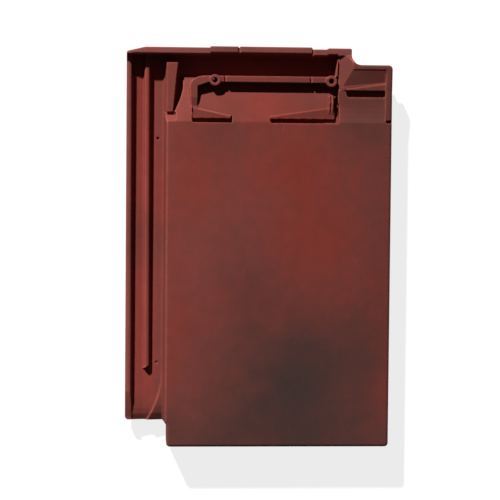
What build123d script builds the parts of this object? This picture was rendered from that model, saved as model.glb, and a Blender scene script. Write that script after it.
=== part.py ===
from build123d import *
import os

os.makedirs("parts", exist_ok=True)

# Overall size, and the cover that each tile gives on the roof
tile_length = 450.0
tile_width = 298.0
cover_length = 366.0
side_gap = 2.0

# Levels above the floor that the tile lies on
panel_top = 35.0
slab_thickness = 13.0
tail_edge_depth = 28.0
head_rim_drop = 4.5
side_rim_drop = 6.3

# Widths across the side gutter, from the outer edge to the panel
side_rim_width = 6.5
outer_channel_width = 13.2
mid_ridge_width = 7.6
inner_channel_width = 15.1
panel_draft = 2.2
gutter_splay = 0.6

# Depths in the side gutter, below the side rim, at the head end and the tail end
outer_floor_head = 8.9
outer_floor_tail = 6.9
outer_foot_head = 11.9
outer_foot_tail = 8.5
inner_floor_head = 13.2
inner_floor_tail = 8.8
gutter_thickness = 6.0
floor_mark_radius = 1.5
floor_mark_depth = 2.0
floor_mark_line = 35.6
floor_mark_ends = [103.3, 93.4]

# Ridge between the two channels, and the side rim's run-out at the tail
mid_ridge_drop_head = 4.0
mid_ridge_drop_tail = 2.8
mid_ridge_stop = 86.0
mid_ridge_slant = 4.5
side_rim_stop = 62.0
side_rim_run = 30.5

# Curved fall at the gutter's tail end that throws the water on to the tile below
fall_height = 1.9
fall_length = 55.0
fall_reach = 16.8
fall_slope = 0.14
fall_bevel = 1.7
roll_off_length = 15.0
roll_off_drop = 3.2

# Corner cut-outs where four tiles meet
tail_cut_length = 28.5
tail_cut_margin = 2.0
head_cut_length = 19.2
head_cut_width = 45.7
tail_cut_radius = 5.5
head_cut_radius = 10.5
tail_corner_radius = 4.0
head_corner_radius = 4.5
rim_corner_radius = 2.0
head_chamfer_x = 20.8
head_chamfer_y = 6.4
corner_lip_width = 1.4
corner_lip_length = 8.0

# Head rim, in segments that start at these distances from the gutter edge
head_rim_width = 7.6
head_rim_bevel = 1.3
rim_centre_start = 93.5
rim_notch_start = 208.0
rim_notch_end = 225.5
rim_setback = 1.5
rim_notch_setback = 2.1
rim_right_setback = 0.7
rim_groove_line = 125.6
rim_groove_width = 2.6
rim_groove_depth = 1.6
rim_nick_size = 1.4

# Head channel, nail rib and ramp
head_channel_width = 25.3
head_channel_floor = 12.0
head_channel_slant = 3.6
nail_rib_width = 6.9
nail_rib_drop = 1.7
rib_notch_width = 1.3
rib_notch_depth = 1.2
rib_notch_lines = [109.7, 206.3]
ramp_foot = 23.0
facet_foot = 13.0
corner_bend = 20.6
bend_length = 14.6
left_bar_line = 70.4
left_bar_width = 8.8
left_bar_slant = 2.7
left_bar_root = 8.0
right_bar_width = 5.6
right_bar_length = 17.3
right_bar_gap = 13.0
right_bar_groove = 2.0

# Nail holes in their bosses
nail_hole_radius = 3.0
nail_boss_radius = 6.4
nail_boss_rise = 1.0
nail_hole_spacing = 130.7
nail_hole_line = 98.6
nail_hole_inset = 37.8

# Slots and wedges at the head of the panel
slot_width = 4.7
slot_inset = 1.1
slot_depth = 7.5
left_slot_line = 73.6
left_slot_length = 44.5
right_slot_line = 161.5
right_slot_length = 72.0
slot_tick_width = 1.8
slot_tick_length = 2.8
side_slot_width = 3.9
side_slot_length = 30.0
side_slot_bulge = 0.8
side_slot_fall = 7.5
side_gap_width = 2.0
side_gap_rise = 36.0
wedge_step = 0.7
left_wedge_rise = 16.9
left_wedge_fall = 8.6
right_wedge_rise = 21.0
right_wedge_fall = 8.4

# Block and drain between the gutter and the ramp
block_width = 12.4
block_side = 2.7
block_length = 55.4
block_inset = 18.1
block_taper = 5.8
block_waist = 14.0
block_waist_taper = 1.8
block_draft = 4.0
drain_floor = 11.0
drain_mouth = 3.5
drain_width = 5.9
drain_wall = 4.0
pit_depth = 2.4
pit_length = 3.6

# Weather bar on the head of the lap
lap_floor_drop = 3.2
lap_ramp_length = 22.0
groove_line = 28.3
groove_width = 7.9
groove_depth = 4.0
groove_slant = 3.0
groove_start = 245.6
groove_corner = 3.0
bar_flat_rise = 0.9
bar_facet_rise = 4.0
bar_facet_step = 0.5
bar_band_step = 0.6
bar_band_width = 5.1
bar_crease_left = 3.7
bar_crease_right = 9.3
bar_start = 242.8
bar_head_inset = 11.5
bar_end_slant = 8.6
bar_end_rise = 1.4
bar_end_slope = 30.0
lap_strip_width = 6.5
strip_notch_width = 3.4
strip_notch_depth = 3.0

# Underside walls, ribs and nibs
side_wall_thickness = 9.0
tail_wall_thickness = 9.0
trough_thickness = 8.0
bearing_inset = 5.0
interlock_rib_width = 10.0
nib_width = 60.0
nib_length = 14.0
nib_spacing = 112.0
stiffener_depth = 2.5
stiffener_width = 7.0
lap_thickness = 10.0
lap_ridge_width = 4.5
lap_clearance = 1.5

# Rounding of the pressed edges
panel_edge_radius = 3.2
arris_radius = 2.2

# Lines that follow from the sizes above
x_left = -tile_width / 2
x_right = tile_width / 2
y_tail = -tile_length / 2
y_head = tile_length / 2
x_rim = x_left + side_rim_width
x_ridge_a = x_rim + outer_channel_width
x_ridge_b = x_ridge_a + mid_ridge_width
x_channel = x_ridge_b + inner_channel_width
x_panel = x_channel + panel_draft
gutter_width = x_panel - x_left
cover_width = tile_width - gutter_width + side_gap
x_lap = x_left + cover_width - side_gap
x_cut = x_right - head_cut_width
x_strip = x_right - lap_strip_width
x_well = x_left + right_slot_line + right_slot_length
x_shelf = x_well + side_slot_width
y_panel = y_tail + cover_length
y_gutter = y_tail + tail_cut_length
y_rim = y_head - head_rim_width
y_rib = y_rim - head_channel_width
y_rib_back = y_rib - nail_rib_width
y_cut = y_head - head_cut_length
y_bearing = y_rib_back - bearing_inset
rim_top = panel_top - head_rim_drop
side_rim_top = rim_top - side_rim_drop
ridge_head = side_rim_top - mid_ridge_drop_head
ridge_tail = side_rim_top - mid_ridge_drop_tail
rib_top = panel_top - nail_rib_drop
slab_base = panel_top - slab_thickness
trough_base = head_channel_floor - trough_thickness
floor_head = side_rim_top - outer_floor_head
floor_tail = side_rim_top - outer_floor_tail
foot_head = side_rim_top - outer_foot_head
foot_tail = side_rim_top - outer_foot_tail
inner_head = side_rim_top - inner_floor_head
inner_tail = side_rim_top - inner_floor_tail
gutter_base_head = inner_head - gutter_thickness
gutter_base_tail = inner_tail - gutter_thickness
lap_floor = panel_top - lap_floor_drop
lap_base = panel_top - lap_thickness
ramp_slope = (panel_top - ramp_foot) / (y_rib_back - y_panel)
x_bearing = x_shelf + 6.0
tail_edge = panel_top - tail_edge_depth
sky = panel_top + 12.0
deep = -1.0
rib_y = y_rib - nail_rib_width / 2
nail_y = y_head - nail_hole_inset
nail_xs = [x_left + nail_hole_line, x_left + nail_hole_line + nail_hole_spacing]
y_gutter_head = y_rim - rim_setback


def ramp_height(y):
    """Level of the head ramp at a distance along the tile."""
    return panel_top - ramp_slope * (y - y_panel)


def side_prism(points, x0, x1, mode=Mode.ADD):
    """Lengthwise section carried across the tile between two lines."""
    with BuildSketch(Plane.YZ.offset(x0)) as section:
        with BuildLine():
            Polyline(*points, close=True)
        make_face()
    extrude(section.sketch, amount=x1 - x0, dir=(1, 0, 0), mode=mode)


def cross_prism(points, y0, y1, mode=Mode.ADD):
    """Cross-section carried along the tile between two lines."""
    with BuildSketch(Plane.XZ.offset(-y0)) as section:
        with BuildLine():
            Polyline(*points, close=True)
        make_face()
    extrude(section.sketch, amount=y1 - y0, dir=(0, 1, 0), mode=mode)


def plan_prism(points, z0, z1, mode=Mode.ADD):
    """Plan outline carried up between two levels."""
    with BuildSketch(Plane.XY.offset(z0)) as outline:
        with BuildLine():
            Polyline(*points, close=True)
        make_face()
    extrude(outline.sketch, amount=z1 - z0, dir=(0, 0, 1), mode=mode)


def block(x0, x1, y0, y1, z0, z1, mode=Mode.ADD):
    """Straight-sided block between three pairs of lines."""
    with Locations(((x0 + x1) / 2, (y0 + y1) / 2, (z0 + z1) / 2)):
        Box(x1 - x0, y1 - y0, z1 - z0, mode=mode)


def cross_loft(head_points, tail_points, y_head_end, y_tail_end, mode=Mode.ADD):
    """Straight loft along the tile between two cross-sections."""
    with BuildSketch(Plane.XZ.offset(-y_head_end)) as head_section:
        with BuildLine():
            Polyline(*head_points, close=True)
        make_face()
    with BuildSketch(Plane.XZ.offset(-y_tail_end)) as tail_section:
        with BuildLine():
            Polyline(*tail_points, close=True)
        make_face()
    loft([head_section.sketch, tail_section.sketch], ruled=True, mode=mode)


def gutter_air(floor, foot, inner, shift):
    """Cross-section of the open gutter above one set of floor levels."""
    edge = x_rim + shift
    return [
        (x_left - 1, sky),
        (x_left - 1, side_rim_top),
        (edge - 3.7, side_rim_top - 0.1),
        (edge - 2.5, side_rim_top - 0.4),
        (edge - 1.4, side_rim_top - 0.8),
        (edge - 0.6, side_rim_top - 1.3),
        (edge, side_rim_top - 2.4),
        (edge + 0.8, floor + 0.8),
        (edge + 1.6, floor),
        (x_ridge_a, foot),
        (x_ridge_b + 0.5, inner),
        (x_channel - 2.2, inner),
        (x_channel - 0.8, inner + 0.5),
        (x_channel, inner + 1.8),
        (x_panel, panel_top - arris_radius),
        (x_panel + 0.29 * arris_radius, panel_top - 0.29 * arris_radius),
        (x_panel + arris_radius, panel_top),
        (x_panel + arris_radius, sky),
    ]


def gutter_under(base):
    """Cross-section of the space under the gutter."""
    return [
        (x_left - 1, deep),
        (x_left - 1, base),
        (x_channel + side_wall_thickness - 3, base),
        (x_channel + side_wall_thickness, deep),
    ]


with BuildPart() as roof_tile:
    # Outline with the two corner cut-outs, the head rim's setbacks and rounded corners
    rim_segments = [
        (x_left - 1, x_left + rim_centre_start, rim_setback),
        (x_left + rim_notch_start, x_left + rim_notch_end, rim_notch_setback),
        (x_left + rim_notch_end, x_cut + 1, rim_right_setback),
    ]
    with BuildSketch() as outline:
        Rectangle(tile_width, tile_length)
        with Locations((x_left, y_tail)):
            Rectangle(2 * (gutter_width + tail_cut_margin), 2 * tail_cut_length, mode=Mode.SUBTRACT)
        with Locations((x_right, y_head)):
            Rectangle(2 * head_cut_width, 2 * head_cut_length, mode=Mode.SUBTRACT)
        for x0, x1, setback in rim_segments:
            with Locations(((x0 + x1) / 2, y_head)):
                Rectangle(x1 - x0, 2 * setback, mode=Mode.SUBTRACT)
        with BuildLine():
            Polyline(
                (x_left - 1, y_head - head_chamfer_y - 0.25),
                (x_left + head_chamfer_x, y_head - rim_setback),
                (x_left - 1, y_head),
                close=True,
            )
        make_face(mode=Mode.SUBTRACT)
        rounding = [
            (x_panel + tail_cut_margin, y_gutter, tail_cut_radius),
            (x_cut, y_cut, head_cut_radius),
            (x_left, y_gutter, tail_corner_radius),
            (x_panel + tail_cut_margin, y_tail, tail_corner_radius),
            (x_right, y_tail, tail_corner_radius),
            (x_right, y_cut, head_corner_radius),
        ]
        for x, y, radius in rounding:
            fillet(outline.vertices().sort_by_distance((x, y))[0], radius)
    extrude(amount=panel_top)

    # Soft upper edges along the tail and the covering side
    top_edges = roof_tile.edges().filter_by_position(Axis.Z, panel_top - 0.01, panel_top + 0.01)
    tail_edges = top_edges.filter_by(Axis.X).group_by(Axis.Y)[0]
    side_edges = top_edges.filter_by(Axis.Y).group_by(Axis.X)[-1]
    fillet(tail_edges + side_edges, radius=panel_edge_radius)

    # Head rim, which stands lower than the panel
    block(x_left - 1, x_shelf, y_rib, y_head + 1, rim_top, sky, Mode.SUBTRACT)
    block(x_left - 1, x_cut + 1, y_gutter_head, y_head + 1, rim_top, sky, Mode.SUBTRACT)
    rim_corners = [
        (x_cut, y_head - rim_right_setback),
        (x_left, y_head - head_chamfer_y),
        (x_left + head_chamfer_x, y_head - rim_setback),
    ]
    upright = roof_tile.edges().filter_by(Axis.Z)
    fillet([upright.sort_by_distance((x, y, rim_top / 2))[0] for x, y in rim_corners], rim_corner_radius)

    # Side gutter with its two channels
    cross_loft(
        gutter_air(floor_head, foot_head, inner_head, -gutter_splay),
        gutter_air(floor_tail, foot_tail, inner_tail, gutter_splay),
        y_gutter_head,
        y_gutter - 1,
        Mode.SUBTRACT,
    )

    # Side rim runs down to the gutter floor at the tail
    side_prism(
        [
            (y_gutter - 1, sky),
            (y_gutter - 1, floor_tail - 1),
            (y_tail + side_rim_stop - side_rim_run, floor_tail - 1),
            (y_tail + side_rim_stop, side_rim_top),
            (y_tail + side_rim_stop, sky),
        ],
        x_left - 1,
        x_rim + gutter_splay + 1.6,
        Mode.SUBTRACT,
    )

    # Lip that carries the head rim round the gutter's corner
    side_prism(
        [
            (y_gutter_head + 0.1, side_rim_top - 2),
            (y_gutter_head + 0.1, rim_top),
            (y_gutter_head - corner_lip_length, side_rim_top - 0.2),
            (y_gutter_head - corner_lip_length, side_rim_top - 2),
        ],
        x_left,
        x_left + corner_lip_width,
    )

    # Head channel behind the segments of the head rim, whose inner edge is bevelled
    channel_segments = [
        (x_rim, x_left + rim_centre_start, rim_setback),
        (x_left + rim_centre_start, x_left + rim_notch_start, 0.0),
        (x_left + rim_notch_start, x_left + rim_notch_end, rim_notch_setback),
        (x_left + rim_notch_end, x_shelf, rim_right_setback),
    ]
    for x0, x1, setback in channel_segments:
        y_inner = y_rim - setback
        slant = head_channel_slant if x1 == x_shelf else 0.0
        plan_prism(
            [(x0, y_rib), (x1 - slant, y_rib), (x1, y_inner), (x0, y_inner)],
            head_channel_floor,
            sky,
            Mode.SUBTRACT,
        )
        side_prism(
            [
                (y_inner - 0.1, rim_top - head_rim_bevel - 0.1),
                (y_inner + head_rim_bevel, rim_top + 0.1),
                (y_inner - 0.1, rim_top + 0.1),
            ],
            x0,
            x1,
            Mode.SUBTRACT,
        )

    # Groove across the head rim, with a nick at its outer end
    groove_x = x_left + rim_groove_line
    block(
        groove_x - rim_groove_width / 2,
        groove_x + rim_groove_width / 2,
        y_rim - 1,
        y_head + 1,
        rim_top - rim_groove_depth,
        sky,
        Mode.SUBTRACT,
    )
    with Locations((groove_x, y_head)):
        Box(rim_nick_size, 2 * rim_nick_size, 2 * rim_top + 2, mode=Mode.SUBTRACT)

    # Ramp that climbs from the nail rib to the panel, and the steeper one beside its bar
    bar_left = x_left + left_bar_line
    bar_right = bar_left + left_bar_width
    side_prism(
        [
            (y_panel, panel_top),
            (y_rib + 0.1, ramp_height(y_rib + 0.1)),
            (y_rib + 0.1, sky),
            (y_panel, sky),
        ],
        bar_left,
        x_well,
        Mode.SUBTRACT,
    )
    y_gap = y_panel + side_gap_rise
    y_slot_end = y_panel + side_slot_length
    side_prism(
        [
            (y_slot_end - 1, ramp_height(y_slot_end - 1)),
            (y_rib + 0.1, ramp_height(y_rib + 0.1)),
            (y_rib + 0.1, sky),
            (y_slot_end - 1, sky),
        ],
        x_well - 0.1,
        x_shelf,
        Mode.SUBTRACT,
    )
    x_bend = bar_left + corner_bend
    facet_slope = (panel_top - facet_foot) / (y_rib - y_panel)
    facets = [
        (x_channel - 1, bar_left + left_bar_slant, y_panel),
        (bar_left, x_bend, y_rib - bend_length * 0.75),
    ]
    for x0, x1, y0 in facets:
        side_prism(
            [
                (y0, panel_top - facet_slope * (y0 - y_panel)),
                (y_rib, facet_foot),
                (y_rib + 0.1, facet_foot),
                (y_rib + 0.1, sky),
                (y0, sky),
            ],
            x0,
            x1,
            Mode.SUBTRACT,
        )

    # Ridge between the two channels, a rounded bead cut slantwise at the tail
    def ridge_section(top, foot, shift):
        return [
            (x_ridge_a + shift, foot - 3),
            (x_ridge_a + shift, foot + 0.3),
            (x_ridge_a + shift + 1.4, top - 1.3),
            (x_ridge_a + shift + 2.6, top - 0.1),
            (x_ridge_a + shift + 4.0, top),
            (x_ridge_b + shift - 1.9, top - 0.4),
            (x_ridge_b + shift - 1.2, top - 1.0),
            (x_ridge_b + shift - 0.6, top - 2.2),
            (x_ridge_b + shift, foot - 3),
        ]

    ridge_nose = y_tail + mid_ridge_stop
    with BuildPart():
        cross_loft(
            ridge_section(ridge_head, foot_head, -gutter_splay),
            ridge_section(ridge_tail, foot_tail, gutter_splay),
            y_gutter_head - 12,
            ridge_nose,
        )
        cross_loft(
            ridge_section(ridge_head - 3.0, foot_head, -gutter_splay),
            ridge_section(ridge_head, foot_head, -gutter_splay),
            y_gutter_head + 1,
            y_gutter_head - 12,
        )
        plan_prism(
            [
                (x_ridge_a - 1, ridge_nose - 1),
                (x_ridge_b + 2, ridge_nose - 1),
                (x_ridge_b + 2, ridge_nose + mid_ridge_slant + 1.5),
                (x_ridge_a - 1, ridge_nose - 0.5),
            ],
            0,
            sky,
            Mode.SUBTRACT,
        )

    # Gutter floor that rolls off at the tail
    def roll_section(drop):
        return [
            (x_rim + 1.2, floor_tail - drop),
            (x_ridge_a, foot_tail - drop),
            (x_ridge_b, inner_tail - drop),
            (x_channel - 1.0, inner_tail - drop),
            (x_channel - 1.0, sky),
            (x_rim + 1.2, sky),
        ]

    roll_start = y_gutter + roll_off_length
    roll_mid = y_gutter + roll_off_length * 0.45
    roll_steps = [
        (roll_start, -0.1, roll_mid, roll_off_drop * 0.25),
        (roll_mid, roll_off_drop * 0.25, y_gutter - 0.5, roll_off_drop),
    ]
    for y0, drop0, y1, drop1 in roll_steps:
        cross_loft(roll_section(drop0), roll_section(drop1), y0, y1, Mode.SUBTRACT)

    # Curved fall at the gutter's tail end that turns the water away from the panel
    fall_floor = inner_tail
    fall_steps = [0.0, 0.25, 0.5, 0.7, 0.85, 1.0]

    def fall_crest(step):
        y = y_gutter + fall_length * (1 - step) - 0.4
        x = x_channel - 0.4 - fall_reach * step * step
        rolled = (max(0.0, roll_start - y) / roll_off_length) ** 1.8 * roll_off_drop
        return x, y, fall_floor + fall_height * min(1.0, 0.2 + 2 * step) - rolled + 0.6 * step

    with BuildPart():
        for step in fall_steps:
            x, y, top = fall_crest(step)
            with BuildSketch(Plane.XZ.offset(-y)):
                with BuildLine():
                    Polyline(
                        (x - fall_bevel - 1.0, fall_floor - 5),
                        (x - fall_bevel, top - fall_height - 0.6),
                        (x, top),
                        (x_panel + 0.2, top - fall_slope * (x_panel - x) * step),
                        (x_panel + 0.2, fall_floor - 5),
                        close=True,
                    )
                make_face()
        loft(ruled=True)

    with BuildPart(mode=Mode.SUBTRACT):
        for step in fall_steps:
            x, y, top = fall_crest(step)
            with BuildSketch(Plane.XZ.offset(-y)):
                with BuildLine():
                    Polyline(
                        (x, top),
                        (x_channel - 0.2, top - fall_slope * (x_channel - x) * step),
                        (x_channel - 0.2, top + 3),
                        (x, top + 3),
                        close=True,
                    )
                make_face()
        loft(ruled=True)

    # Block between the gutter and the ramp, and the drain beside it
    block_head = y_head - block_inset
    block_waist_y = block_head - block_waist
    block_tail = block_head - block_length
    block_top = side_rim_top + 0.5
    x_block = x_channel + block_side + block_width
    x_heel = x_block - block_taper
    plan_prism(
        [
            (x_channel + 0.3, block_tail - 1),
            (x_heel + 0.8, block_tail - 1),
            (x_heel + drain_mouth, block_tail + 3),
            (x_block + drain_width - 2.8, block_tail + 16),
            (x_block + drain_width, block_tail + 27),
            (x_block + drain_width, y_rib + 0.1),
            (x_channel + 0.3, y_rib + 0.1),
        ],
        drain_floor,
        sky,
        Mode.SUBTRACT,
    )

    def block_section(x_edge):
        return [
            (x_channel + 0.2, trough_base),
            (x_channel + 0.2, drain_floor),
            (x_channel + block_side, block_top),
            (x_edge, block_top),
            (x_edge + block_draft, trough_base),
        ]

    x_waist = x_block - block_waist_taper
    cross_loft(block_section(x_block), block_section(x_waist), block_head, block_waist_y)
    cross_loft(block_section(x_waist), block_section(x_heel), block_waist_y, block_tail)

    # Heel that runs down from the panel to a pit behind the block
    pit_floor = block_top - pit_depth
    y_pit = block_tail - pit_length
    side_prism(
        [
            (y_panel, panel_top),
            (y_pit, pit_floor),
            (block_tail, pit_floor),
            (block_tail, sky),
            (y_panel, sky),
        ],
        x_channel - 1,
        x_heel + drain_mouth,
        Mode.SUBTRACT,
    )

    # Nail rib with two narrow notches
    block(x_bend - 1, x_well + 0.1, y_rib_back, y_rib, trough_base, rib_top)
    for line in rib_notch_lines:
        block(
            x_left + line - rib_notch_width / 2,
            x_left + line + rib_notch_width / 2,
            y_rib_back - 0.1,
            y_rib + 0.1,
            rib_top - rib_notch_depth,
            sky,
            Mode.SUBTRACT,
        )

    # Bend and bar at the rib's gutter end
    bar_foot = y_panel + left_bar_root
    with BuildSketch(Plane.XY.offset(trough_base)) as bend:
        with BuildLine():
            Line((bar_left + left_bar_slant, bar_foot), (bar_left, y_rib - bend_length))
            Spline(
                (bar_left, y_rib - bend_length),
                (x_bend, y_rib),
                tangents=[(0, 1), (1, 0)],
            )
            Polyline(
                (x_bend, y_rib),
                (x_bend, y_rib_back - 0.6),
                (bar_right, y_rib_back - 4.8),
                (bar_right, bar_foot),
                (bar_left + left_bar_slant, bar_foot),
            )
        make_face()
    extrude(bend.sketch, amount=rib_top - trough_base)

    # Short grooved bar below the second nail hole
    bar_head = y_rib_back - right_bar_gap
    with BuildSketch(Plane.XY.offset(trough_base)) as short_bar:
        with Locations((nail_xs[1], bar_head - right_bar_length / 2)):
            SlotOverall(right_bar_length, right_bar_width, rotation=90)
    extrude(short_bar.sketch, amount=rib_top - trough_base)
    with BuildSketch(Plane.XY.offset(rib_top - 0.9)) as bar_groove:
        with Locations((nail_xs[1], bar_head - right_bar_length / 2 + 2)):
            SlotOverall(right_bar_length, right_bar_groove, rotation=90)
    extrude(bar_groove.sketch, amount=4, mode=Mode.SUBTRACT)

    # Bosses round the nail holes
    with BuildSketch(Plane.XY.offset(trough_base)) as bosses:
        with Locations(*[(x, nail_y) for x in nail_xs]):
            Circle(nail_boss_radius)
    extrude(bosses.sketch, amount=rib_top + nail_boss_rise - trough_base)

    # Wedges that fill the foot of the panel behind the slots
    wedges = [
        (bar_left + left_bar_slant, x_left + left_slot_line + left_slot_length, left_wedge_rise, left_wedge_fall),
        (x_left + right_slot_line - 1.5, x_well + 0.1, right_wedge_fall, right_wedge_rise),
    ]
    for x0, x1, rise0, rise1 in wedges:
        z0 = ramp_height(y_panel + rise0) + wedge_step
        z1 = ramp_height(y_panel + rise1) + wedge_step
        y_top = y_panel + max(rise0, rise1)
        cross_prism(
            [(x0, z0), (x1, z1), (x1, sky), (x0, sky)],
            y_panel + 0.1,
            y_top + 1,
            Mode.SUBTRACT,
        )

    # Foot of the long bar, which slopes down to its wedge
    wedge_top = y_panel + left_wedge_rise
    side_prism(
        [
            (wedge_top, ramp_height(wedge_top) + wedge_step),
            (wedge_top + 10, rib_top),
            (wedge_top + 10, sky),
            (wedge_top, sky),
        ],
        bar_left - 1,
        bar_right + 0.1,
        Mode.SUBTRACT,
    )

    # Slots along the head of the panel, with the tick and the bulged side slot
    slots = [(left_slot_line, left_slot_length), (right_slot_line, right_slot_length)]
    slot_floor = panel_top - slot_depth
    for line, length in slots:
        block(
            x_left + line,
            x_left + line + length,
            y_panel - slot_inset,
            y_panel - slot_inset + slot_width,
            slot_floor,
            sky,
            Mode.SUBTRACT,
        )
    tick_x = x_left + left_slot_line + left_slot_length
    block(
        tick_x - slot_tick_width,
        tick_x,
        y_panel,
        y_panel - slot_inset + slot_width + slot_tick_length,
        slot_floor,
        sky,
        Mode.SUBTRACT,
    )
    with BuildPart(mode=Mode.SUBTRACT):
        with BuildSketch(Plane.XY.offset(slot_floor - side_slot_fall)) as side_slot:
            with BuildLine():
                side_foot = (x_shelf, y_panel - slot_inset)
                side_mid = (x_shelf + side_slot_bulge, y_panel + side_slot_length * 0.5)
                side_top = (x_shelf - 1.2, y_slot_end)
                ThreePointArc(side_foot, side_mid, side_top)
                Polyline(
                    side_top,
                    (x_well, y_slot_end - 2),
                    (x_well, y_panel - slot_inset),
                    side_foot,
                )
            make_face()
        extrude(side_slot.sketch, amount=sky - slot_floor + side_slot_fall)
        side_prism(
            [
                (y_panel - 2, slot_floor),
                (y_panel, slot_floor),
                (y_slot_end + 1, slot_floor - side_slot_fall),
                (y_slot_end + 1, sky),
                (y_panel - 2, sky),
            ],
            x_well - 1,
            x_shelf + 2,
            Mode.INTERSECT,
        )

    block(x_shelf - side_gap_width, x_shelf, y_gap, y_rib + 0.1, ramp_foot - 4, sky, Mode.SUBTRACT)

    # Floor of the lap's head, with a ramp up to the panel
    y_groove = y_panel + groove_line
    y_flat = y_groove + groove_width
    y_band = y_cut - bar_band_width
    lap_ramp = []
    for share in (0.0, 0.25, 0.5, 0.75, 1.0):
        lap_ramp.append((y_panel + lap_ramp_length * share, lap_floor + lap_floor_drop * (1 - share) ** 2))
    side_prism(
        lap_ramp + [(y_gutter_head, lap_floor), (y_gutter_head, sky), (y_panel, sky)],
        x_shelf,
        x_strip,
        Mode.SUBTRACT,
    )

    # Weather bar across the head of the lap, with its slanted crease and sloped end
    x_bar = x_left + bar_start
    y_bar = y_head - bar_head_inset
    flat_z = lap_floor + bar_flat_rise
    crease_z = flat_z - bar_facet_step
    band_z = crease_z + bar_facet_rise + bar_band_step

    def bar_section(crease_y):
        return [
            (y_flat, lap_base + 1),
            (y_flat, flat_z),
            (crease_y, flat_z),
            (crease_y + 0.5, crease_z),
            (y_band, crease_z + bar_facet_rise),
            (y_band, band_z),
            (y_bar, band_z),
            (y_bar, lap_base + 1),
        ]

    with BuildPart() as weather_bar:
        with BuildSketch(Plane.YZ.offset(x_bar)) as bar_near:
            with BuildLine():
                Polyline(*bar_section(y_flat + bar_crease_left), close=True)
            make_face()
        with BuildSketch(Plane.YZ.offset(x_right)) as bar_far:
            with BuildLine():
                Polyline(*bar_section(y_flat + bar_crease_right), close=True)
            make_face()
        loft([bar_near.sketch, bar_far.sketch], ruled=True)
        side_prism(
            [
                (y_flat, lap_base + 1),
                (y_flat, panel_top),
                (y_band, band_z),
                (y_bar, band_z),
                (y_bar, lap_base + 1),
            ],
            x_strip,
            x_right,
        )
        extrude(outline.sketch, amount=sky, mode=Mode.INTERSECT)
        strip_edges = weather_bar.edges().filter_by_position(Axis.X, x_right - 0.1, x_right + 0.1)
        fillet(strip_edges.filter_by_position(Axis.Z, panel_top - 0.1, sky), radius=panel_edge_radius - 1)

    # Sloped end of the weather bar, which runs down to the head channel
    end_low = Vector(x_bar, y_flat + bar_crease_left, flat_z)
    end_high = Vector(x_bar + bar_end_slant, y_bar - 2, flat_z + bar_end_rise)
    along = (end_high - end_low).normalized()
    across = Vector(0, 0, 1).cross(along).normalized()
    end_normal = across.rotate(Axis((0, 0, 0), along), 90 - bar_end_slope)
    with BuildPart(mode=Mode.SUBTRACT):
        block(x_shelf - 0.6, x_bar + bar_end_slant + 2, y_flat, y_gutter_head, ramp_foot, sky)
        with Locations(Plane(origin=end_low, x_dir=along, z_dir=end_normal)):
            Box(200, 100, 40, align=(Align.CENTER, Align.CENTER, Align.MIN), mode=Mode.INTERSECT)

    # Groove in front of the weather bar
    with BuildSketch(Plane.XY.offset(lap_floor - groove_depth)) as groove:
        with BuildLine():
            Polyline(
                (x_left + groove_start, y_flat),
                (x_left + groove_start + 1.2, y_groove + 3),
                (x_left + groove_start + groove_slant, y_groove),
                (x_strip - groove_corner, y_groove),
                (x_strip, y_groove + groove_corner),
                (x_strip, y_flat),
                close=True,
            )
        make_face()
    extrude(groove.sketch, amount=sky - lap_floor, mode=Mode.SUBTRACT)

    # Edge strip of the lap beside the recess
    side_prism(
        [
            (y_panel + 2, panel_top),
            (y_panel + 2, lap_floor - 1),
            (y_band + 2, lap_floor - 1),
            (y_band + 2, panel_top),
        ],
        x_strip - 1.4,
        x_strip + 0.1,
    )

    # Notch where the lap's edge strip meets the panel
    block(
        x_strip,
        x_right + 1,
        y_panel - 0.4,
        y_panel - 0.4 + strip_notch_width,
        panel_top - strip_notch_depth,
        sky,
        Mode.SUBTRACT,
    )

    # Space under the gutter, which rises to the tail
    cross_loft(
        gutter_under(gutter_base_head),
        gutter_under(gutter_base_tail),
        y_head + 1,
        y_gutter - 1,
        Mode.SUBTRACT,
    )
    block(x_channel, x_cut + 1, y_bearing - 0.1, y_head + 1, deep, trough_base, Mode.SUBTRACT)

    # Hollow under the panel and the ramp, up to the bearing face
    x_wall = x_panel + side_wall_thickness
    x_drain_wall = x_block + drain_width + drain_wall
    y_solid = y_panel - 10
    side_prism(
        [
            (y_tail + tail_wall_thickness, deep),
            (y_tail + tail_wall_thickness + 2, slab_base),
            (y_solid, slab_base),
            (y_solid, deep),
        ],
        x_wall,
        x_bearing,
        Mode.SUBTRACT,
    )
    side_prism(
        [
            (y_solid - 0.1, deep),
            (y_solid - 0.1, slab_base),
            (y_panel + 6, slab_base),
            (y_bearing, ramp_height(y_bearing) - slab_thickness + 2),
            (y_bearing, deep),
        ],
        x_drain_wall,
        x_bearing,
        Mode.SUBTRACT,
    )
    block(
        x_bearing - 0.1,
        x_lap,
        y_tail + tail_wall_thickness + 2,
        y_panel - 8,
        deep,
        slab_base,
        Mode.SUBTRACT,
    )
    block(
        x_panel - 1,
        x_right + 1,
        y_tail - 1,
        y_tail + tail_wall_thickness + 2,
        deep,
        tail_edge,
        Mode.SUBTRACT,
    )
    block(x_panel - 4, x_wall + 0.1, y_tail - 1, y_bearing, deep, gutter_base_head, Mode.SUBTRACT)
    block(x_wall, x_drain_wall + 0.1, y_solid, y_bearing, deep, gutter_base_head, Mode.SUBTRACT)

    # Space under the lap for the gutter of the next tile
    block(x_lap - 0.1, x_right + 1, y_tail + tail_wall_thickness, y_cut + 1, deep, lap_base, Mode.SUBTRACT)
    block(x_bearing, x_lap, y_panel - 8.1, y_cut - 4, deep, lap_base, Mode.SUBTRACT)

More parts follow.
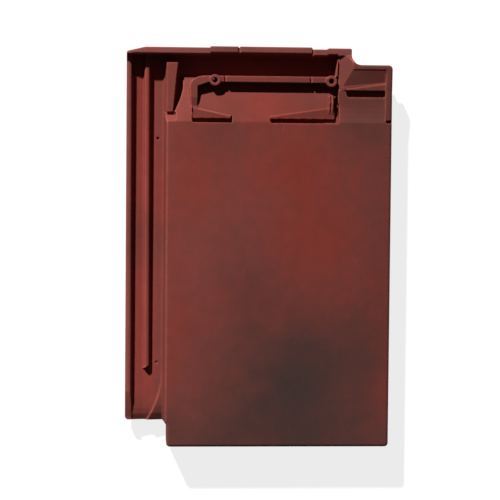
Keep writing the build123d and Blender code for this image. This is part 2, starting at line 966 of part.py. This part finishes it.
    # Ridges of the lap that drop into the channels of the next tile
    outer_line = x_left + cover_width + side_rim_width + outer_channel_width / 2
    inner_line = x_left + cover_width + gutter_width - panel_draft - inner_channel_width / 2
    ridge_lines = [(outer_line, floor_tail), (inner_line, inner_tail)]
    for ridge_x, floor in ridge_lines:
        block(
            ridge_x - lap_ridge_width / 2,
            ridge_x + lap_ridge_width / 2,
            y_tail + tail_wall_thickness - 1,
            y_cut - lap_clearance - 2,
            floor + lap_clearance,
            lap_base + 0.5,
        )

    # Stiffening ribs under the panel
    span_mid = (x_wall + x_lap) / 2
    for offset_x in (-45.0, 0.0, 45.0):
        block(
            span_mid + offset_x - stiffener_width / 2,
            span_mid + offset_x + stiffener_width / 2,
            y_tail + tail_wall_thickness,
            y_panel + 8,
            slab_base - stiffener_depth,
            slab_base + 0.5,
        )

    # Rib that drops into the head channel of the tile below
    rib_line = (y_rim + y_rib) / 2 - cover_length
    block(
        x_wall - 2,
        x_bearing - 6,
        rib_line - interlock_rib_width / 2,
        rib_line + interlock_rib_width / 2,
        0,
        slab_base + 0.5,
    )

    # Nibs that hook over the batten
    for side in (-1, 1):
        nib_x = (x_wall + x_bearing) / 2 + side * nib_spacing / 2
        block(
            nib_x - nib_width / 2,
            nib_x + nib_width / 2,
            y_bearing,
            y_bearing + nib_length,
            0,
            trough_base + 0.5,
        )

    # Nail holes right through the bosses
    with Locations(*[(x, nail_y, 0) for x in nail_xs]):
        Cylinder(nail_hole_radius, 4 * panel_top, mode=Mode.SUBTRACT)

    # Two small round marks in the floor of the inner channel
    for line, level in [(y_head - floor_mark_ends[0], inner_head), (y_tail + floor_mark_ends[1], inner_tail)]:
        with Locations((x_left + floor_mark_line, line, level - floor_mark_depth)):
            Cylinder(
                floor_mark_radius,
                4 * floor_mark_depth,
                align=(Align.CENTER, Align.CENTER, Align.MIN),
                mode=Mode.SUBTRACT,
            )

roof_tile.part.label = "roof_tile"
export_step(roof_tile.part, "parts/roof_tile.step")
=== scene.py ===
"""Looks of the clay roof tile: flamed red clay, a pale floor, studio light and the camera."""

import math

import bmesh
import bpy
from mathutils import Matrix, Vector


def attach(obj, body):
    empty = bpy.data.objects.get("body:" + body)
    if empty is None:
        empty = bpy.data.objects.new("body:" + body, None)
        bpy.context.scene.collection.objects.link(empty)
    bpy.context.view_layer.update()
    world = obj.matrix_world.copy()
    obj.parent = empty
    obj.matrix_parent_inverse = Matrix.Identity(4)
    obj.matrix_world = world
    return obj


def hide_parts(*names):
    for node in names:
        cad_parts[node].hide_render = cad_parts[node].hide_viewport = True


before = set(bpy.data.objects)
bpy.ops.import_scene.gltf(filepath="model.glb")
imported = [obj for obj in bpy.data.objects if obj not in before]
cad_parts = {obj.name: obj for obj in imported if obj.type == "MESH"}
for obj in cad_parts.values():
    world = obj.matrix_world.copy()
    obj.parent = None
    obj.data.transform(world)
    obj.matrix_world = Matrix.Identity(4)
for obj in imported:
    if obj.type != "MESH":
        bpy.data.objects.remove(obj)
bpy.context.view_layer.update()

# Camera over the tile: it looks almost straight down, a little from the head and the gutter side
camera_distance = 2.0
camera_to_head = math.radians(2.75)
camera_to_gutter = math.radians(3.80)
camera_roll = math.radians(0.512)
camera_lens = 126.1
camera_aim = Vector((-0.0075, -0.0042, 0.0))

# Key light from the head and the gutter side, with the fill of a pale room
key_height = math.radians(29.5)
key_to_gutter = math.radians(25.0)
key_strength = 6.0
key_softness = math.radians(2.0)
fill_strength = 0.06

# The floor: its colours for the light and for the camera, and its glow towards the camera, which
# leaves out a rectangle under the tile, so that the nail holes look into the dark
floor_half = 6.0
floor_colour = (0.80, 0.80, 0.80, 1)
floor_seen = (0.24, 0.24, 0.24, 1)
floor_glow = 0.82
covered_half_width = 0.105
covered_half_length = 0.190

# Fired clay: its colours, and where the gutter floor and the rims have their own
clay_flame = (0.194, 0.026, 0.016, 1)
clay_dull = (0.156, 0.038, 0.031, 1)
clay_gutter = (0.212, 0.036, 0.028, 1)
clay_dusty = (0.205, 0.053, 0.045, 1)
clay_smoke = (0.034, 0.024, 0.021, 1)
# the pale colour of temper grains, of worn edges and of the painted highlight on lit edges
clay_pale_and_highlight = (0.430, 0.088, 0.058, 1)
clay_ior = 1.45
clay_specular = 0.20
gutter_end = -0.122
gutter_fade = 0.010
gutter_floor_top = 0.0225
gutter_floor_full = 0.0190
side_rim_end = -0.1435
side_rim_fade = 0.001
head_rim_start = 0.212
head_rim_fade = 0.004

# Noises: scale, detail and roughness, and how much the lengthwise ones are stretched
cloud_noise = (9.0, 3.0, 0.5)
mottle_noise = (60.0, 4.0, 0.6)
streak_noise = (90.0, 3.0, 0.6)
streak_stretch = (1.0, 0.06, 1.0)
wander_noise = (15.0, 3.0, 0.5)
grain_noise = (900.0, 2.0, 0.5)
fine_noise = (1500.0, 3.0, 0.6)
drag_noise = (420.0, 3.0, 0.6)
drag_stretch = (1.0, 0.12, 1.0)

# Shares of the noises in the tone and in the relief
cloud_share = 0.50
mottle_share = 0.20
streak_share = 0.30
fine_relief = 0.45
drag_relief = 0.35
mottle_relief = 0.8
relief_strength = 0.35
relief_depth = 0.0004

# Ramps: the input from and to, and the output from and to
redness_by_tone = (0.38, 0.64, 0.10, 0.62)
shade_across = (-0.125, 0.150, 1.20, 0.88)
shade_by_mottle = (0.30, 0.70, 0.95, 1.05)
dark_grains = (0.66, 0.74, 0.0, 0.35)
pale_grains = (0.33, 0.26, 0.0, 0.25)
roughness_by_tone = (0.35, 0.65, 0.88, 0.72)

# Worn edges and painted highlight: how far the paler rub reaches in from an edge, and where
# it is strongest; partly real wear, partly a painted highlight on edges facing the key light.
# The crests get a painted highlight line, faint and full at these shares of its half width
wear_and_highlight_reach = 0.0030
wear_and_highlight_samples = 12
wear_and_highlight_by_edge = (0.96, 0.72, 0.0, 1.0)
wear_and_highlight_by_mottle = (0.35, 0.62, 0.55, 0.95)
highlight_by_lit_side = (-0.08, -0.50, 0.16, 1.0)
wear_and_highlight_lost_to_smoke = 0.8
edge_radius = 0.0006
edge_samples = 6
crest_half_width = 0.0008
crest_faint = 1.5
crest_full = 0.5
crest_highlight_strength = 0.55
highlight_crests = [
    # painted highlight on the tops of the wedges and the weather bar: from, to, across and along
    ((0.0111, 0.1469), (0.0820, 0.1577)),
    ((-0.0335, 0.1475), (-0.0745, 0.1565)),
    ((0.0975, 0.1785), (0.1415, 0.1848)),
]

# Smoke and flame that the kiln left, and how much the borders of their patches wander
smoke_wander = 0.55
flame_wander = 0.7
flame_share = 0.7
smoke_patches = [
    # across, along, half width, half length, strength
    (0.046, -0.172, 0.118, 0.122, 0.74),
    (0.040, -0.158, 0.074, 0.080, 0.62),
    (0.012, -0.198, 0.080, 0.056, 0.40),
    (0.056, -0.108, 0.104, 0.110, 0.60),
    (-0.004, -0.046, 0.072, 0.080, 0.32),
    (0.020, -0.240, 0.260, 0.108, 0.78),
    (-0.042, -0.128, 0.100, 0.125, 0.28),
    (0.118, -0.120, 0.064, 0.110, 0.50),
    (0.122, 0.150, 0.072, 0.076, 0.44),
    (0.122, 0.206, 0.060, 0.024, 0.40),
    (-0.046, 0.130, 0.052, 0.062, 0.26),
    (0.054, 0.164, 0.050, 0.034, 0.24),
    (-0.036, 0.226, 0.040, 0.016, 0.34),
    (-0.020, 0.014, 0.042, 0.048, 0.08),
    (0.140, -0.010, 0.050, 0.170, 0.20),
    (-0.132, 0.012, 0.040, 0.060, 0.30),
    (-0.130, -0.200, 0.060, 0.036, 0.40),
]
flame_patches = [
    (0.058, 0.018, 0.075, 0.085, 0.85),
    (0.040, 0.085, 0.060, 0.050, 0.55),
    (0.020, 0.160, 0.110, 0.036, 0.60),
    (-0.078, 0.095, 0.030, 0.090, 0.45),
    (-0.090, -0.080, 0.022, 0.120, 0.35),
]

# Pressing: the remesh's voxel in metres, the smoothing, and the share of triangles that is kept
press_voxel = 0.0006
press_smoothing = 0.5
press_softness = 1
press_kept = 0.092

# The foot of the short grooved bar, in millimetres: its place across, and outlines along and up
bar_low_x = 77.5
bar_high_x = 83.1
bar_rail_width = 2.0
bar_foot_floor = [(164.0, 28.0), (164.0, 32.4), (151.0, 30.0), (151.0, 28.0)]
bar_foot_rail = [(164.0, 28.0), (164.0, 33.3), (162.0, 33.3), (149.0, 30.2), (149.0, 28.0)]

# What is cut away, in millimetres: low and high across, and the outline along and up
cuts = [
    # the sliver beside the side slot
    (86.0, 88.36, [(164.0, 21.8), (170.3, 27.2), (170.3, 40.0), (164.0, 40.0)]),
    # the nick and the slit in the head rim
    (-23.8, -22.3, [(212.0, 27.0), (227.0, 27.0), (227.0, 40.0), (212.0, 40.0)]),
    (58.6, 60.0, [(216.4, 27.4), (227.0, 27.4), (227.0, 40.0), (216.4, 40.0)]),
    # the two notches in the nail rib
    (-40.2, -38.2, [(184.0, 31.3), (193.4, 31.3), (193.4, 40.0), (184.0, 40.0)]),
    (56.2, 58.2, [(184.0, 31.3), (193.4, 31.3), (193.4, 40.0), (184.0, 40.0)]),
    # the small mark on the panel
    (24.8, 26.0, [(132.0, 40.0), (132.5, 34.2), (138.6, 34.2), (139.0, 40.0)]),
]
millimetres = 1000  # in a metre

# The colour sockets of a Mix node: its two inputs and its output
mix_a, mix_b, mix_result = 6, 7, 2


def node_tree(name):
    """A new material and its empty node tree."""
    material = bpy.data.materials.new(name)
    material.use_nodes = True
    material.node_tree.nodes.clear()
    return material, material.node_tree


class Nodes:
    """Short ways to make and wire the nodes of one material."""

    def __init__(self, tree):
        self.tree = tree

    def link(self, source, target):
        if isinstance(source, (int, float, tuple)):
            target.default_value = source
        else:
            self.tree.links.new(source, target)

    def new(self, kind, **settings):
        made = self.tree.nodes.new(kind)
        for key, value in settings.items():
            setattr(made, key, value)
        return made

    def math(self, operation, a, b=0.0, clamp=False):
        made = self.new("ShaderNodeMath", operation=operation, use_clamp=clamp)
        self.link(a, made.inputs[0])
        self.link(b, made.inputs[1])
        return made.outputs[0]

    def noise(self, vector, scale, detail, rough, stretch=(1, 1, 1)):
        mapping = self.new("ShaderNodeMapping")
        mapping.inputs["Scale"].default_value = stretch
        self.link(vector, mapping.inputs["Vector"])
        made = self.new("ShaderNodeTexNoise")
        made.inputs["Scale"].default_value = scale
        made.inputs["Detail"].default_value = detail
        made.inputs["Roughness"].default_value = rough
        self.link(mapping.outputs[0], made.inputs["Vector"])
        return made.outputs["Fac"]

    def ramp(self, value, low, high, out_low=0.0, out_high=1.0, smooth=True):
        made = self.new("ShaderNodeMapRange")
        made.interpolation_type = "SMOOTHSTEP" if smooth else "LINEAR"
        self.link(value, made.inputs["Value"])
        made.inputs["From Min"].default_value = low
        made.inputs["From Max"].default_value = high
        made.inputs["To Min"].default_value = out_low
        made.inputs["To Max"].default_value = out_high
        return made.outputs["Result"]

    def mix(self, factor, a, b, blend="MIX"):
        made = self.new("ShaderNodeMix", data_type="RGBA", blend_type=blend)
        self.link(factor, made.inputs["Factor"])
        self.link(a, made.inputs[mix_a])
        self.link(b, made.inputs[mix_b])
        return made.outputs[mix_result]


def patches(n, across, along, wander, spots):
    """Soft patches with wandering borders, laid over each other, as one value from 0 to 1."""
    clear = 1.0
    for x, y, half_x, half_y, strength in spots:
        dx = n.math("DIVIDE", n.math("SUBTRACT", across, x), half_x)
        dy = n.math("DIVIDE", n.math("SUBTRACT", along, y), half_y)
        far = n.math("ADD", n.math("MULTIPLY", dx, dx), n.math("MULTIPLY", dy, dy))
        far = n.math("ADD", n.math("SQRT", far), wander)
        left = n.ramp(far, 0.0, 1.0, 1.0 - strength, 1.0)
        clear = n.math("MULTIPLY", left, clear)
    return n.math("SUBTRACT", 1.0, clear)


def crest(n, across, along, start, end):
    """How near a point is to a straight crest: 1 on its top and 0 beside it."""
    run = Vector(end) - Vector(start)
    dx = n.math("SUBTRACT", across, start[0])
    dy = n.math("SUBTRACT", along, start[1])
    way = n.math("ADD", n.math("MULTIPLY", dx, run.x), n.math("MULTIPLY", dy, run.y))
    way = n.math("DIVIDE", way, run.length_squared, clamp=True)
    off_x = n.math("SUBTRACT", dx, n.math("MULTIPLY", way, run.x))
    off_y = n.math("SUBTRACT", dy, n.math("MULTIPLY", way, run.y))
    far = n.math("ADD", n.math("MULTIPLY", off_x, off_x), n.math("MULTIPLY", off_y, off_y))
    far = n.math("SQRT", far)
    return n.ramp(far, crest_half_width * crest_faint, crest_half_width * crest_full)


def fired_clay():
    """Flamed red clay: clouds, streaks, smoke, worn edges, a fine grain and a matt face."""
    material, tree = node_tree("fired_clay")
    n = Nodes(tree)
    place = n.new("ShaderNodeTexCoord").outputs["Object"]
    axes = n.new("ShaderNodeSeparateXYZ")
    n.link(place, axes.inputs[0])
    across, along, up = axes.outputs[0], axes.outputs[1], axes.outputs[2]

    # Soft clouds, and the lengthwise streaks of the press
    clouds = n.noise(place, *cloud_noise)
    mottle = n.noise(place, *mottle_noise)
    streaks = n.noise(place, *streak_noise, stretch=streak_stretch)
    wander = n.math("SUBTRACT", n.noise(place, *wander_noise), 0.5)
    tone = n.math("MULTIPLY", clouds, cloud_share)
    tone = n.math("ADD", tone, n.math("MULTIPLY", mottle, mottle_share))
    tone = n.math("ADD", tone, n.math("MULTIPLY", streaks, streak_share))
    flame = patches(n, across, along, n.math("MULTIPLY", wander, flame_wander), flame_patches)
    flame = n.math("MULTIPLY", flame, flame_share)
    redness = n.math("ADD", n.ramp(tone, *redness_by_tone), flame, clamp=True)
    colour = n.mix(redness, clay_dull, clay_flame)

    # The gutter's floor is redder, and the rims are dustier
    in_gutter = n.math(
        "MULTIPLY",
        n.ramp(across, gutter_end + gutter_fade, gutter_end),
        n.ramp(up, gutter_floor_top, gutter_floor_full),
    )
    colour = n.mix(in_gutter, colour, clay_gutter)
    on_rim = n.math(
        "MAXIMUM",
        n.ramp(along, head_rim_start, head_rim_start + head_rim_fade),
        n.ramp(across, side_rim_end, side_rim_end - side_rim_fade),
    )
    colour = n.mix(on_rim, colour, clay_dusty)

    # Darker towards the covering side
    shade = n.ramp(across, *shade_across, smooth=False)
    shade = n.math("MULTIPLY", shade, n.ramp(mottle, *shade_by_mottle))
    shade_colour = n.new("ShaderNodeCombineColor")
    for socket in shade_colour.inputs:
        n.link(shade, socket)
    colour = n.mix(1.0, colour, shade_colour.outputs[0], "MULTIPLY")

    # Smoke of the kiln in soft patches
    smoke = patches(n, across, along, n.math("MULTIPLY", wander, smoke_wander), smoke_patches)
    colour = n.mix(smoke, colour, clay_smoke)

    # Proud edges are rubbed paler, partly real wear and partly painted highlight,
    # most on the sides that face the gutter and the key light; the crests get a painted highlight
    # line
    bevel = n.new("ShaderNodeBevel", samples=edge_samples)
    bevel.inputs["Radius"].default_value = edge_radius
    proud = n.new(
        "ShaderNodeAmbientOcclusion", samples=wear_and_highlight_samples, inside=True, only_local=True
    )
    proud.inputs["Distance"].default_value = wear_and_highlight_reach
    rubbed_and_highlight = n.ramp(proud.outputs["AO"], *wear_and_highlight_by_edge)
    rubbed_and_highlight = n.math("MULTIPLY", rubbed_and_highlight, n.ramp(mottle, *wear_and_highlight_by_mottle))
    smoked = n.math("MULTIPLY", smoke, wear_and_highlight_lost_to_smoke)
    rubbed_and_highlight = n.math("MULTIPLY", rubbed_and_highlight, n.math("SUBTRACT", 1.0, smoked))
    facing = n.new("ShaderNodeSeparateXYZ")
    n.link(n.new("ShaderNodeNewGeometry").outputs["Normal"], facing.inputs[0])
    # painted highlight: the rub is strongest on faces turned to the gutter side, where the key
    # light is
    rubbed_and_highlight = n.math("MULTIPLY", rubbed_and_highlight, n.ramp(facing.outputs[0], *highlight_by_lit_side))
    # a painted highlight line along each crest
    for start, end in highlight_crests:
        crest_highlight = n.math("MULTIPLY", crest(n, across, along, start, end), crest_highlight_strength)
        rubbed_and_highlight = n.math("MAXIMUM", rubbed_and_highlight, crest_highlight)
    colour = n.mix(rubbed_and_highlight, colour, clay_pale_and_highlight)

    # Grains of temper, darker and lighter than the clay
    grains = n.noise(place, *grain_noise)
    colour = n.mix(n.ramp(grains, *dark_grains), colour, clay_smoke)
    colour = n.mix(n.ramp(grains, *pale_grains), colour, clay_pale_and_highlight)

    # Relief: the grain, the drag of the mould and a slight unevenness
    fine = n.noise(place, *fine_noise)
    drag = n.noise(place, *drag_noise, stretch=drag_stretch)
    height = n.math(
        "ADD", n.math("MULTIPLY", fine, fine_relief), n.math("MULTIPLY", drag, drag_relief)
    )
    height = n.math("ADD", height, n.math("MULTIPLY", mottle, mottle_relief))
    bump = n.new("ShaderNodeBump")
    bump.inputs["Strength"].default_value = relief_strength
    bump.inputs["Distance"].default_value = relief_depth
    n.link(height, bump.inputs["Height"])
    n.link(bevel.outputs[0], bump.inputs["Normal"])

    shader = n.new("ShaderNodeBsdfPrincipled")
    n.link(colour, shader.inputs["Base Color"])
    n.link(n.ramp(tone, *roughness_by_tone), shader.inputs["Roughness"])
    n.link(bump.outputs[0], shader.inputs["Normal"])
    shader.inputs["IOR"].default_value = clay_ior
    shader.inputs["Specular IOR Level"].default_value = clay_specular
    output = n.new("ShaderNodeOutputMaterial")
    n.link(shader.outputs[0], output.inputs["Surface"])
    return material


def pale_floor():
    """A pale matt floor that the camera sees as white, with the tile's shadow kept on it."""
    material, tree = node_tree("pale_floor")
    n = Nodes(tree)
    axes = n.new("ShaderNodeSeparateXYZ")
    n.link(n.new("ShaderNodeTexCoord").outputs["Object"], axes.inputs[0])
    inside_x = n.math("LESS_THAN", n.math("ABSOLUTE", axes.outputs[0]), covered_half_width)
    inside_y = n.math("LESS_THAN", n.math("ABSOLUTE", axes.outputs[1]), covered_half_length)
    open_floor = n.math("SUBTRACT", 1.0, n.math("MULTIPLY", inside_x, inside_y))
    cloth = n.new("ShaderNodeBsdfDiffuse")
    cloth.inputs["Color"].default_value = floor_colour
    seen = n.new("ShaderNodeBsdfDiffuse")
    seen.inputs["Color"].default_value = floor_seen
    glow = n.new("ShaderNodeEmission")
    glow.inputs["Color"].default_value = (1, 1, 1, 1)
    n.link(n.math("MULTIPLY", open_floor, floor_glow), glow.inputs["Strength"])
    both = n.new("ShaderNodeAddShader")
    n.link(seen.outputs[0], both.inputs[0])
    n.link(glow.outputs[0], both.inputs[1])
    choose = n.new("ShaderNodeMixShader")
    path = n.new("ShaderNodeLightPath")
    n.link(path.outputs["Is Camera Ray"], choose.inputs[0])
    n.link(cloth.outputs[0], choose.inputs[1])
    n.link(both.outputs[0], choose.inputs[2])

    # From below the floor isn't drawn, so that the underside of the tile can be looked at
    from_below = n.new("ShaderNodeMixShader")
    n.link(n.new("ShaderNodeNewGeometry").outputs["Backfacing"], from_below.inputs[0])
    n.link(choose.outputs[0], from_below.inputs[1])
    n.link(n.new("ShaderNodeBsdfTransparent").outputs[0], from_below.inputs[2])
    output = n.new("ShaderNodeOutputMaterial")
    n.link(from_below.outputs[0], output.inputs["Surface"])
    return material


def add_floor():
    """A level floor under the tile."""
    mesh = bpy.data.meshes.new("floor")
    signs = [(-1, -1), (1, -1), (1, 1), (-1, 1)]
    corners = [(x * floor_half, y * floor_half, 0) for x, y in signs]
    mesh.from_pydata(corners, [], [(0, 1, 2, 3)])
    floor = bpy.data.objects.new("floor", mesh)
    bpy.context.collection.objects.link(floor)
    mesh.materials.append(pale_floor())


def add_lights():
    """A key light low over the head, and the even light of a pale room."""
    lamp = bpy.data.lights.new("key", "SUN")
    lamp.energy = key_strength
    lamp.angle = key_softness
    key = bpy.data.objects.new("key", lamp)
    towards = Vector(
        (
            -math.sin(key_to_gutter) * math.cos(key_height),
            math.cos(key_to_gutter) * math.cos(key_height),
            math.sin(key_height),
        )
    )
    key.rotation_mode = "QUATERNION"
    key.rotation_quaternion = towards.to_track_quat("Z", "Y")
    bpy.context.collection.objects.link(key)

    world = bpy.data.worlds.new("room")
    bpy.context.scene.world = world
    world.use_nodes = True
    world.node_tree.nodes.clear()
    n = Nodes(world.node_tree)
    room = n.new("ShaderNodeBackground")
    room.inputs["Strength"].default_value = fill_strength
    white = n.new("ShaderNodeBackground")
    white.inputs["Strength"].default_value = 1.0
    choose = n.new("ShaderNodeMixShader")
    path = n.new("ShaderNodeLightPath")
    n.link(path.outputs["Is Camera Ray"], choose.inputs[0])
    n.link(room.outputs[0], choose.inputs[1])
    n.link(white.outputs[0], choose.inputs[2])
    output = n.new("ShaderNodeOutputWorld")
    n.link(choose.outputs[0], output.inputs["Surface"])


def add_camera():
    """The camera at the photograph's angle, turned by its slight roll."""
    sideways = -math.sin(camera_to_gutter)
    headwards = math.sin(camera_to_head)
    back = Vector((sideways, headwards, math.sqrt(1 - sideways**2 - headwards**2)))
    right = (-back).cross(Vector((0, 1, 0))).normalized()
    up = right.cross(-back)
    turned_right = math.cos(camera_roll) * right + math.sin(camera_roll) * up
    turned_up = math.cos(camera_roll) * up - math.sin(camera_roll) * right
    data = bpy.data.cameras.new("camera")
    data.lens = camera_lens
    camera = bpy.data.objects.new("camera", data)
    turn = Matrix((turned_right, turned_up, back)).transposed()
    camera.matrix_world = Matrix.Translation(camera_aim + back * camera_distance) @ turn.to_4x4()
    bpy.context.collection.objects.link(camera)
    bpy.context.scene.camera = camera


def add_prism(shape, low_x, high_x, outline):
    """Adds to a bmesh a closed prism along X, from its outline in Y and Z, all in millimetres."""
    rings = [
        [
            shape.verts.new((x / millimetres, y / millimetres, z / millimetres))
            for y, z in outline
        ]
        for x in (low_x, high_x)
    ]
    faces = [shape.faces.new(ring) for ring in rings]
    for i, corner in enumerate(rings[0]):
        after = (i + 1) % len(outline)
        faces.append(shape.faces.new((corner, rings[0][after], rings[1][after], rings[1][i])))
    bmesh.ops.recalc_face_normals(shape, faces=faces)


def placed(name, mesh):
    """An object of this mesh, in the scene."""
    made = bpy.data.objects.new(name, mesh)
    bpy.context.collection.objects.link(made)
    return made


def pressed_tile(cad):
    """The CAD tile with the soft edges of pressed clay, its bar's foot added and the cuts made."""
    body = cad.data.copy()
    shape = bmesh.new()
    shape.from_mesh(body)
    add_prism(shape, bar_low_x, bar_high_x, bar_foot_floor)
    add_prism(shape, bar_low_x, bar_low_x + bar_rail_width, bar_foot_rail)
    add_prism(shape, bar_high_x - bar_rail_width, bar_high_x, bar_foot_rail)
    shape.to_mesh(body)
    shape.free()
    blank = placed("pressed_blank", body)

    knives = bmesh.new()
    for low_x, high_x, outline in cuts:
        add_prism(knives, low_x, high_x, outline)
    knife_mesh = bpy.data.meshes.new("knives")
    knives.to_mesh(knife_mesh)
    knives.free()
    cutter = placed("knives", knife_mesh)
    cut = blank.modifiers.new("cut", "BOOLEAN")
    cut.operation = "DIFFERENCE"
    cut.solver = "EXACT"
    cut.use_self = True
    cut.object = cutter

    skin = blank.modifiers.new("skin", "REMESH")
    skin.mode = "VOXEL"
    skin.voxel_size = press_voxel
    skin.adaptivity = 0.0
    soften = blank.modifiers.new("soften", "SMOOTH")
    soften.factor = press_smoothing
    soften.iterations = press_softness
    thin = blank.modifiers.new("thin", "DECIMATE")
    thin.ratio = press_kept
    evaluated = blank.evaluated_get(bpy.context.evaluated_depsgraph_get())
    pressed = bpy.data.meshes.new_from_object(evaluated)
    for made in (blank, cutter):
        bpy.data.objects.remove(made)
    pressed.shade_smooth()
    piece = placed("pressed_tile", pressed)
    piece.data.materials.clear()
    piece.data.materials.append(fired_clay())
    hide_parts("roof_tile")
    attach(piece, "root")


pressed_tile(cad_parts["roof_tile"])
add_floor()
add_lights()
add_camera()
bpy.context.scene.view_settings.view_transform = "Standard"
